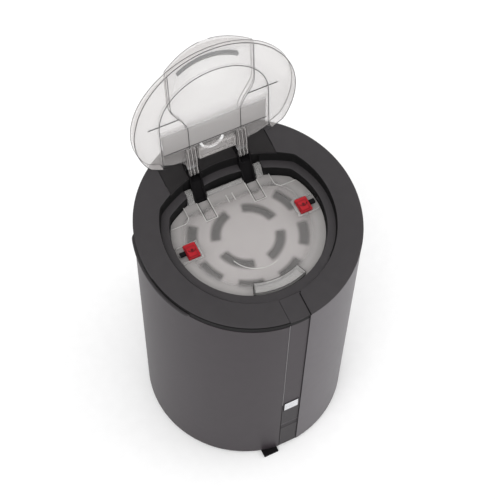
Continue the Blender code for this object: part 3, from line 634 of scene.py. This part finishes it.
def make_ring():
    steps = 240
    rings = []
    for i in range(steps):
        a = 2 * math.pi * i / steps
        cos_a, sin_a = math.cos(a), math.sin(a)
        seat, opening = seat_radius(a, 0.0), seat_radius(a, OPENING_INSET)

        def up(r, depth):
            return (r * cos_a, r * sin_a, top(r * cos_a, r * sin_a) - depth)

        def at(r, height):
            return (r * cos_a, r * sin_a, height)

        low = ledge(seat * cos_a, seat * sin_a)
        drop = top(seat * cos_a, seat * sin_a) - low
        soft = min(1.0, drop / 6.0)
        low_in = ledge(opening * cos_a, opening * sin_a)
        rings.append(
            [
                at(seat + 3.0, RING_LOW),
                up(seat + 3.0, 14.0),
                up(146.0, 14.0),
                up(146.0, 3.1),
                up(149.0, 3.1),
                up(149.8, 2.6),
                up(150.0, 1.8),
                up(149.7, 0.9),
                up(149.0, 0.3),
                up(147.8, 0.0),
                up(seat + 2.0, 0.0),
                up(seat + 0.9, 0.12 * drop * (1 - soft) + 0.2 * soft),
                up(seat + 0.2, 0.3 * drop * (1 - soft) + 0.9 * soft),
                up(seat, 0.5 * drop * (1 - soft) + 1.8 * soft),
                at(seat - 0.1, low + 0.25 * drop * (1 - soft) + 1.2 * soft),
                at(seat - 0.9 - 1.5 * (1 - soft), low),
                at(opening + 1.0, low_in),
                at(opening + 0.3, low_in - 0.3),
                at(opening, low_in - 1.1),
                at(opening, RING_LOW),
            ]
        )
    ring = loops_mesh("ring_body", rings, RING, closed_path=True)
    half, grow = SPINE_HALF, GAP
    groove = [
        (-half - grow, -153),
        (half + grow, -153),
        (half + grow, -119.2),
        (half + 3 + 2 * grow, -116 + grow),
        (-half - grow, -116 + grow),
    ]
    cutters = [prism("cap_groove", groove, under_top(2.1), under_top(-3.0))]
    edge = PANEL_HALF + GAP
    panel = [(-edge, 60), (edge, 60), (edge, 124.3), (-edge, 124.3)]
    cutters.append(prism("panel_slope", panel, under_top(2.4), 470))
    for side in (-1, 1):
        # The hinge arm's slot, the space beside it and the latch bolt's socket
        for low_x, high_x, low, high in (
            (SLOT_IN, SLOT_OUT, (64, 400), (112, 470)),
            (SLOT_OUT - 1, 55.8, (64, 400), (84.8, 440)),
            (98.0, 108.0, (-4.2, 412.6), (6.2, 418.4)),
        ):
            x0, x1 = sorted((side * low_x, side * high_x))
            cutters.append(box(f"cut_{side}_{low_x}", (x0, *low), (x1, *high)))
    subtract(ring, *cutters)
    ring.data.materials.clear()
    for mat in (RING, RING_WALL_SHADE, BLACK):
        ring.data.materials.append(mat)
    # Steep inner faces take the painted shade of the ring's walls; steep outer faces on the left are black
    for face in ring.data.polygons:
        x, y = face.center.x / MM, face.center.y / MM
        outer = math.hypot(x, y) > 148.6
        steep = face.normal.z < 0.75
        left = x < SPINE_HALF and abs(math.degrees(math.atan2(y, x))) > 84
        black_edge, shaded_wall = outer and steep and left, steep and not outer
        face.material_index = 2 if black_edge else 1 if shaded_wall else 0
    place(ring, "casing", "ring_plastic", "top_ring")
    seam = [(14.6, -150.6, 0.1), (14.6, -118.5, 0.1), (17.0, -114.6, -1.0)]
    seam = [(x, y, top(x, y) + rise) for x, y, rise in seam]
    place(tube("cap_seam_right", seam, 0.75, BLACK), "casing", "ring_plastic")
    for side, word in ((-1, "left"), (1, "right")):
        path = [(side * (PANEL_HALF + 0.4), y, top(0, y) - 0.1) for y in (86.0, 125.5)]
        place(tube(f"panel_edge_{word}", path, 0.45, BLACK), "casing", "ring_plastic")
    path = [(-14.4, y, top(-14.4, y) - 0.2) for y in (-150.6, -117.0)]
    place(tube("cap_seam_left", path, 0.3, BLACK), "casing", "ring_plastic")


def make_drum():
    front = edge_angle(SPINE_HALF + GAP, SHELL_OUT)
    rear = edge_angle(REAR_HALF + GAP, SHELL_OUT)
    for name, start, end, gap, x, mat in (
        ("left", 90 + rear, 270 - front, 11.6, -PORT_X, WALL),
        ("right", -90 + front, 90 - rear, 3.3, PORT_X, WALL_RIGHT_PAINTED_LIGHT),
    ):
        outline = sector(SHELL_IN, SHELL_OUT, start, end, 130)
        shell = prism(f"drum_wall_{name}", outline, SHELL_LOW, under_top(gap), mat)
        subtract(shell, rod(f"port_hole_{name}", 13.0, (x, 130, PORT_Z), (x, 160, PORT_Z)))
        place(soften(shell, 0.5), "casing", "drum_plastic", f"outer_shell_{name}")
    outline = sector(146.5, 149.1, 90 + rear, 270 + front, 130)
    band = prism("neck_groove", outline, under_top(11.3), under_top(3.3), BAND)
    place(band, "casing", "black_plastic", "neck_band")
    for name, x, radius, low, high, mat in (
        ("right", 14.35, 0.45, 8.0, 417.0, BLACK),
        ("left_low", -14.35, 0.35, 8.0, 158.0, BLACK),
        ("left_high", -14.35, 0.3, 158.0, 410.0, CREASE_HIGHLIGHT),
    ):
        path = [(x, -149.35, low), (x, -149.35, high)]
        place(tube(f"strip_seam_{name}", path, radius, mat), "casing", "drum_plastic")
    outline = [(-11.3, -149.0, 135.0), (-11.3, -149.0, 158.8), (11.6, -149.0, 158.8)]
    for number, ends in enumerate(zip(outline, outline[1:])):
        place(tube(f"window_outline_{number}", ends, 0.6, BLACK), "casing", "drum_plastic")

    # The carrying ledge thins out towards both of its ends.
    rings = []
    start, end, count = 162.0, 214.0, 80
    for i in range(count + 1):
        degrees = start + (end - start) * i / count
        a = math.radians(degrees)
        reach = min(1.0, (end - degrees) / 3.5, (degrees - start) / 3.5)
        reach = math.sqrt(max(0.02, reach * (2 - reach)))
        ring = []
        for r, depth in ((0.1, 11.0), (2.4, 11.0), (3.3, 10.3), (3.4, 8.4), (2.6, 7.1), (0.1, 7.0)):
            radius = SHELL_OUT + 0.1 + (r - 0.1) * reach
            x, y = radius * math.cos(a), radius * math.sin(a)
            ring.append((x, y, top(x, y) - depth))
        rings.append(ring)
    place(loops_mesh("grip_ledge", rings, RING), "casing", "ring_plastic", "grip_lip")


def make_ports():
    for side, word, inner_end in ((-1, "inlet", 76.0), (1, "outlet", 46.0)):
        x, out, valve = side * PORT_X, 186.0, 164.0
        profile = [
            (12.0, out),
            (13.5, out - 5),
            (12.0, out - 5.5),
            (13.5, out - 11),
            (12.0, out - 11.5),
            (12.0, valve + 11),
            (15.5, valve + 8),
            (15.5, valve - 8),
            (18.5, valve - 9),
            (18.5, valve - 13),
            (12.0, valve - 14),
            (12.0, inner_end),
            (9.0, inner_end),
            (9.0, out),
        ]
        port = lathe(f"{word}_tail", profile, BLACK, (x, 0, PORT_Z), lay_back=True)
        base = PORT_Z + 15.5 + GAP
        if side < 0:
            riser = rod("inlet_riser", 13.0, (x, 64, 49.0), (x, 64, 99.7), BLACK)
            place(riser, "casing", "black_plastic")
        place(port, "casing", "black_plastic", f"{word}_port")
        hub = rod(f"{word}_lever_hub", 7.5, (x, valve, base), (x, valve, base + 6), RED)
        blade = box(f"{word}_lever_blade", (x - 3, valve, base + 1.5), (x + 3, valve + 26, base + 5.5), RED)
        place(soften(unite(hub, blade), 0.8), f"{word}_lever_body", "red_plastic", f"{word}_lever")
    gland = [(5.5, 166), (7.5, 156), (10, 155.5), (10, 149.8)]
    gland += [(5.5, 149.4), (5.5, 140), (3.6, 140), (3.6, 166)]
    place(lathe("cord_gland", gland, RUBBER, (0, 0, 32), lay_back=True), "casing", "rubber", "power_gland")
    spots = arc(118, 45, 315, 3) + [(0, 0)]
    for number, (x, y) in enumerate(spots, 1):
        foot = lathe(f"foot_pad_{number}", [(11, 4.7), (12, 0), (0, 0), (0, 4.7)], RUBBER, (x, y, 0))
        place(foot, "casing", "rubber", f"foot_{number}")


# ---------------------------------------------------------------- lid


def on_lid(points, height):
    """Points of the closed lid's plan, at a height above its underside or one that a function gives."""
    raised = height if callable(height) else above_lid(height)
    return [(x, y, raised(x, y)) for x, y in points]


def swing_open(obj):
    """Turns a piece that was built closed to the open lid's place."""
    obj.data.transform(Matrix.Scale(MM, 4) @ SWING @ Matrix.Scale(1 / MM, 4))


def skirt_low(x, y):
    return max(ledge(x, y) + 1.5, lid_plane(y) - SKIRT_DEPTH)


def make_lid():
    lid = prism("lid_shell", lid_outline(0.0), above_lid(0.0), above_lid(LID_PLATE), LID_CLEAR)
    band = band_solid("lid_band", 0.35, LID_REAR_Y - 1, 0.5, 0.0)
    hollow = band_solid("lid_hollow", LID_PLATE, LID_REAR_Y - 5, -1.0, LID_PLATE)
    sections = []
    for (x, y), (inner_x, inner_y) in zip(lid_outline(0.15), lid_outline(2.0)):
        low = skirt_low(x, y)
        section = [(x, y, low), (x, y, lid_plane(y) + 1.0)]
        section += [(inner_x, inner_y, lid_plane(inner_y) + 1.0), (inner_x, inner_y, low)]
        sections.append(section)
    skirt = loops_mesh("lid_skirt", sections, None, closed_path=True)
    subtract(skirt, box("skirt_rear", (-78, 55, 400), (78, 120, 480)))
    unite(lid, skirt, band)
    subtract(lid, hollow)
    swing_open(lid)
    place(lid, "lid", "clear_plastic", "outer_lid")

    def arch(radius):
        return [(radius, RIB_REAR_Y), *arc(radius, 0, -180, 60), (-radius, RIB_REAR_Y)]

    inner = arch(RIB_R - RIB_WALL)[::-1]
    rib = prism("lid_arch", arch(RIB_R) + inner, above_lid(-4.0), above_lid(-GAP), LID_FAINT, SWING)
    place(rib, "lid", "clear_plastic", "lid_rib")

    # Rows of name, path, radius and whether the bead closes on itself
    beads = [("rim_top", on_lid(lid_outline(0.3), LID_PLATE - 0.2), 0.45, True)]
    front_rim = [p for p in lid_outline(0.6) if p[1] < 74]
    front_rim = sorted(front_rim, key=lambda p: (math.atan2(p[1], p[0]) - math.pi / 2) % (2 * math.pi))
    beads.append(("rim_low", [(x, y, skirt_low(x, y) - 0.1) for x, y in front_rim], 0.42, False))
    stations = band_stations(0.6, LID_REAR_Y - 2)
    for sign, word in ((-1, "left"), (1, "right")):
        path = [(sign * x, y) for x, y in stations]
        beads.append((f"band_top_{word}", on_lid(path, band_height(0.2)), 0.35, False))
        foot = [(sign * (x + 0.4), y) for x, y in stations if y > -96]
        beads.append((f"band_foot_{word}", on_lid(foot, LID_PLATE), 0.4, False))
        crease = [(sign * (x - 0.6), y) for x, y in stations if y > -96]
        beads.append((f"band_crease_{word}", on_lid(crease, -1.6), 0.32, False))
        cross = [(sign * 48.0, -7.2), (sign * 90.0, -7.2)]
        beads.append((f"cross_{word}", on_lid(cross, -1.6), 0.55, False))
    beads.append(("arch_line", on_lid(arch(RIB_R - 1), -4.0), 0.42, False))
    hinge_edge = [(-76, 74.0), (-40, 81.0), (-22, 84.0), (22, 84.0), (40, 81.0), (76, 74.0)]
    beads.append(("hinge_edge", on_lid(hinge_edge, -1.6), 0.4, False))
    bar_edge = [(-74.0, 52.5), (74.0, 52.5)]
    beads.append(("bar_edge", on_lid(bar_edge, -1.6), 0.35, False))
    for name, path, radius, closed in beads:
        line = tube(f"lid_line_{name}", path, radius, LID_EDGE_SHADE, closed=closed, turn=SWING)
        place(line, "lid", "clear_plastic")

    # The finger grip under the band widens towards its right end.
    grip, grip_r = [], 88.0
    for i in range(41):
        degrees = 242.0 + 56.0 * i / 40
        width = 1.2 + 3.4 * (i / 40) ** 1.5
        a = math.radians(degrees)
        section = []
        for r, depth in ((grip_r, 0.3), (grip_r, 6.0), (grip_r - width, 6.0), (grip_r - width, 0.3)):
            x, y = r * math.cos(a), r * math.sin(a)
            section.append((x, y, band_height(LID_PLATE + depth)(0.85 * x, y) - 1.5))
        grip.append(section)
    place(loops_mesh("lid_grip_arc", grip, LID_FROST, turn=SWING), "lid", "frosted_plastic", "lid_grip")

    # Painted shade: a grey sheet under the clear lid's hinge side, turned open with the lid
    hinge_side = sorted((p for p in lid_outline(1.5) if p[1] > 40 and abs(p[0]) < 74), reverse=True)
    sheet = [(-74, 6), (74, 6), *hinge_side]
    shade_sheet = prism("lid_painted_shade", sheet, above_lid(-1.2), above_lid(-0.6), LID_PAINTED_SHADE, SWING)
    place(shade_sheet, "lid", "clear_plastic")
    outline = [(-26, 60), (26, 60), (26, 79), (-26, 79)]
    bar = prism("lid_back_bar", outline, above_lid(-7.0), above_lid(-GAP), LID_CLEAR)
    outline = [(-24, 62.5), (24, 62.5), (24, 77), (-24, 77)]
    subtract(bar, prism("bar_hollow", outline, above_lid(-9), above_lid(-2.3)))
    swing_open(bar)
    place(bar, "lid", "clear_plastic", "lid_rear_bar")
    crescent = arc(15.5, 10, 170, 24, x=-5.5, y=52.0)
    place(tube("lid_crescent", on_lid(crescent, -2.2), 2.0, LID_SHEEN, turn=SWING), "lid", "clear_plastic")

    for sign, word in ((-1, "left"), (1, "right")):
        middle = sign * (SLOT_IN + SLOT_OUT) / 2
        knuckle = [
            (HINGE_Y + KNUCKLE_R * math.cos(a), HINGE_Z + KNUCKLE_R * math.sin(a))
            for a in map(math.radians, range(-120, 151, 10))
        ]
        leaf = [(56.5, lid_plane(56.5) - 6.0), (80.0, lid_plane(80.0) - 9.0)] + knuckle
        leaf += [(86.4, HINGE_Z + 2.0), (86.4, lid_plane(86.4) - 0.4), (56.5, lid_plane(56.5) - 0.4)]
        x0, x1 = middle - 6.1, middle + 6.1
        outline = [(x0, 56), (x1, 56), (x1, 83), (x0, 83)]
        root = prism(f"lid_hinge_root_{word}", outline, above_lid(-3.4), above_lid(-GAP), LID_CLEAR, SWING)
        place(root, "lid", "clear_plastic", f"lid_arm_{word}")
        for number, offset in enumerate((-4.9, 0.0, 4.9)):
            x0, x1 = middle + offset - 1.2, middle + offset + 1.2
            blade = side_prism(f"lid_leaf_{word}_{number}", leaf, x0, x1, LID_CLEAR, SWING)
            place(blade, "lid", "clear_plastic")
            for edge, x in (("in", x0), ("out", x1)):
                path = [(x, y, z) for y, z in leaf]
                name = f"lid_leaf_line_{word}_{number}_{edge}"
                line = tube(name, path, 0.3, LID_EDGE_SHADE, closed=True, turn=SWING)
                place(line, "lid", "clear_plastic")


# ---------------------------------------------------------------- inner cover


def corner_pocket(side):
    """The recess in the cover's rear corner, whose front corner is rounded."""
    turns = [math.radians(a) for a in range(0, 91, 9)]
    curve = [(73.0 - 10 * math.cos(a), 53.0 - 10 * math.sin(a)) for a in turns]
    return [(side * x, y) for x, y in [(63.0, 95.0), *curve, (110.0, 43.0), (110.0, 95.0)]]


def make_cover():
    cover = prism("cover_plate", seat_outline(COVER_INSET), COVER_LOW, COVER_TOP, COVER)
    cutters = [box("cover_rear_trim", (-60, 75.6, 400), (60, 120, 430))]
    for side, word in ((-1, "left"), (1, "right")):
        x0, x1 = sorted((side * (SLOT_IN - 0.3), side * (SLOT_OUT + 0.2)))
        cutters.append(box(f"cover_notch_{word}", (x0, 66.5, 400), (x1, 120, 440)))
        low, high = (x0 + 0.9, 35.0, COVER_TOP - 2.4), (x1 - 0.9, 70, COVER_TOP + 5)
        cutters.append(box(f"cover_channel_{word}", low, high))
        cutters.append(prism(f"cover_pocket_{word}", corner_pocket(side), COVER_TOP - 2.2, COVER_TOP + 9))
    subtract(cover, *cutters)
    place(soften(cover, 0.4), "cover", "frosted_plastic", "inner_cover")

    foot = COVER_TOP + 0.1
    profile = [(66, foot), (76, foot), (82, 420), (82, 426), (79.5, 428), (75, 428), (72, 424), (66, 413)]
    for side, word in ((-1, "left"), (1, "right")):
        x0, x1 = sorted((side * 46.0, side * 55.0))
        lug = side_prism(f"cover_ear_{word}", profile, x0, x1, HANDLE_CLEAR)
        place(soften(lug, 0.8), "cover", "frosted_plastic")
        z = COVER_TOP + 0.2
        inner, outer = side * 27.4, side * 44.2
        path = [(inner, 72, z), (inner, 35, z), (outer, 35, z), (outer, 66, z)]
        place(tube(f"channel_edge_{word}", path, 0.7, COVER_HIGHLIGHT), "cover", "frosted_plastic")
        inner, outer = side * 28.6, side * 43.0
        path = [(inner, 70, z), (inner, 36.2, z), (outer, 36.2, z), (outer, 66, z)]
        place(tube(f"channel_line_{word}", path, 0.45, COVER_SHADE_LINE), "cover", "frosted_plastic")
        rear_y = 74.0
        on_cover = [
            (x, y)
            for x, y in corner_pocket(side)[:-1]
            if y < rear_y and math.hypot(x, y) < 101.0 and math.hypot(x, y - SEAT_BACK_Y) < 156.0
        ]
        rim = [(side * 63.0, rear_y), *on_cover, (side * 91.5, 43.0)]
        path = [(x, y, COVER_TOP + 0.1) for x, y in rim]
        place(tube(f"pocket_edge_{word}", path, 0.55, COVER_HIGHLIGHT), "cover", "frosted_plastic")
    rib = box("cover_back_rib", (-26, 69.0, COVER_TOP + GAP), (26, 75.0, COVER_TOP + 4.5), HANDLE_CLEAR)
    place(soften(rib, 0.8), "cover", "frosted_plastic", "cover_rear_rib")
    for number, x in enumerate((-3.8, 5.2)):
        path = [(x, 49, COVER_TOP + 0.4), (x, 61, COVER_TOP + 0.4)]
        place(tube(f"cover_small_rib_{number}", path, 0.7, COVER_HIGHLIGHT), "cover", "frosted_plastic")
    swirl = [(x, y, COVER_TOP) for x, y in arc(40.0, 200, 290, 32, y=-20.0)]
    place(tube("cover_emboss", swirl, 0.6, COVER_HIGHLIGHT), "cover", "frosted_plastic")

    outline = sector(84.0, 99.5, 248.0, 292.0, 40)
    grip = prism("cover_grip", outline, COVER_TOP + GAP, COVER_TOP + 8.5, HANDLE_CLEAR)
    outline = sector(80.0, 97.3, 249.4, 290.6, 40)
    subtract(grip, prism("grip_hollow", outline, COVER_TOP - 1, COVER_TOP + 6.3))
    place(grip, "cover", "clear_plastic", "cover_handle")
    grip_ends = (("bar", 249.0, 1.1, (85.5, 98.5)), ("foot", 291.0, 0.8, (86.0, 98.0)))
    for word, degrees, radius, ends in grip_ends:
        a = math.radians(degrees)
        path = [(r * math.cos(a), r * math.sin(a), COVER_TOP + 1.4) for r in ends]
        place(tube(f"grip_end_{word}", path, radius, COVER_SHADE_LINE), "cover", "clear_plastic")
    outline = sector(84.3, 99.2, 248.2, 291.8, 40)
    for word, z, radius in (("top", COVER_TOP + 8.5, 0.45), ("low", COVER_TOP + 0.9, 0.8)):
        path = [(x, y, z) for x, y in outline]
        place(tube(f"grip_line_{word}", path, radius, COVER_SHADE_LINE, closed=True), "cover", "clear_plastic")


def make_latches():
    for side, word in ((-1, "left"), (1, "right")):
        body = f"latch_{word}_body"
        x0, x1 = sorted((side * LATCH_IN, side * LATCH_OUT))
        z = LATCH_HIGH
        block = box(f"latch_block_{word}", (x0, LATCH_FRONT, COVER_TOP + GAP), (x1, LATCH_BACK, z - 1.2), RED)
        place(soften(block, 1.2, 3), body, "red_plastic", f"latch_{word}")
        low, high = (x0 + 1.6, LATCH_FRONT + 2.0, z - 1.8), (x1 - 3.6, LATCH_BACK - 6.0, z - 0.3)
        pad = box(f"latch_pad_{word}", low, high, RED)
        place(soften(pad, 0.5), body, "red_plastic")
        middle = side * (LATCH_IN + 8.0)
        dot = rod(f"latch_dot_{word}", 2.0, (middle, 0.5, z - 0.6), (middle, 0.5, z), RED_GROOVE_SHADE)
        place(dot, body, "red_plastic")
        curve = [(x, y, z - 0.4) for x, y in arc(5.2, -165, -15, 16, x=middle, y=3.0)]
        place(tube(f"latch_groove_{word}", curve, 0.6, RED_GROOVE_SHADE), body, "red_plastic")
        rim = [(x0 + 1.2, -8.6), (x1 - 3.2, -8.6), (x1 - 3.2, 6.6), (x0 + 1.2, 6.6)]
        edge = [(x, y, z - 1.3) for x, y in rim]
        place(tube(f"latch_rim_{word}", edge, 0.45, RED_GROOVE_SHADE, closed=True), body, "red_plastic")


# ---------------------------------------------------------------- everything that keeps its CAD shape

LOOKS = {
    STRIP: ("front_spine", "rear_spine"),
    STRIP_DARK: ("spine_lower_cover",),
    RING: ("spine_cap",),
    WINDOW: ("status_window",),
    PANEL: ("hinge_panel",),
    BLACK: (
        "hinge_bracket_left",
        "hinge_bracket_right",
        "base_pan",
        "base_tab",
        "pump_housing",
        "impeller",
        "latch_bolt_left",
        "latch_bolt_right",
    ),
    STEEL: ("hinge_pin_left", "hinge_pin_right", "rotor_shaft"),
    TANK: ("inner_tank", "basket_lower", "basket_upper", "centre_tube", "volute_cover"),
    PLATE: ("diffuser_plate",),
    FOAM_DARK: ("foam_fine",),
    FOAM_BLUE: ("foam_coarse",),
    CERAMIC: ("bio_media", "bearing_lower", "bearing_upper"),
    MAGNET: ("stator_block", "rotor_magnet"),
    RUBBER: ("cover_gasket",),
    HANDLE_CLEAR: ("latch_frame_left", "latch_frame_right"),
}


def paint_cad():
    for mat, names in LOOKS.items():
        for name in names:
            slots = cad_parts[name].data.materials
            if len(slots):
                slots[0] = mat
            else:
                slots.append(mat)
    for name in ("front_spine", "spine_lower_cover", "base_tab", "status_window"):
        soften(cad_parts[name], 0.4)


# ---------------------------------------------------------------- studio


def make_studio():
    paper = plastic("floor_face", (0.93, 0.93, 0.93), 0.8, vary=0.01)
    floor = box("floor", (-6000, -6000, -2), (6000, 6000, 0), paper)
    world = bpy.data.worlds.new("studio")
    SCENE.world = world
    world.use_nodes = True
    background = world.node_tree.nodes["Background"]
    background.inputs["Color"].default_value = (1.0, 1.0, 1.0, 1)
    background.inputs["Strength"].default_value = 1.0
    for name, spot, size, power in (
        ("key", (-1.2, -1.0, 2.6), 1.6, 26.0),
        ("fill", (1.8, -0.6, 1.6), 1.8, 10.0),
    ):
        data = bpy.data.lights.new(name, "AREA")
        data.size = size
        data.energy = power
        light = bpy.data.objects.new(name, data)
        light.location = spot
        light.rotation_euler = (Vector((0, 0, 0.3)) - Vector(spot)).to_track_quat("-Z", "Y").to_euler()
        SCENE.collection.objects.link(light)
    data = bpy.data.cameras.new("camera")
    data.lens = CAMERA_LENS
    data.sensor_width = CAMERA_SENSOR
    data.clip_end = 50.0
    camera = bpy.data.objects.new("camera", data)
    turned = Matrix((CAMERA_RIGHT, -CAMERA_DOWN, -CAMERA_AHEAD)).transposed()
    camera.matrix_world = Matrix.Translation(CAMERA_SPOT) @ turned.to_4x4()
    SCENE.collection.objects.link(camera)
    SCENE.camera = camera
    SCENE.view_settings.view_transform = "Standard"


make_ring()
make_drum()
make_ports()
make_lid()
make_cover()
make_latches()
paint_cad()
make_studio()
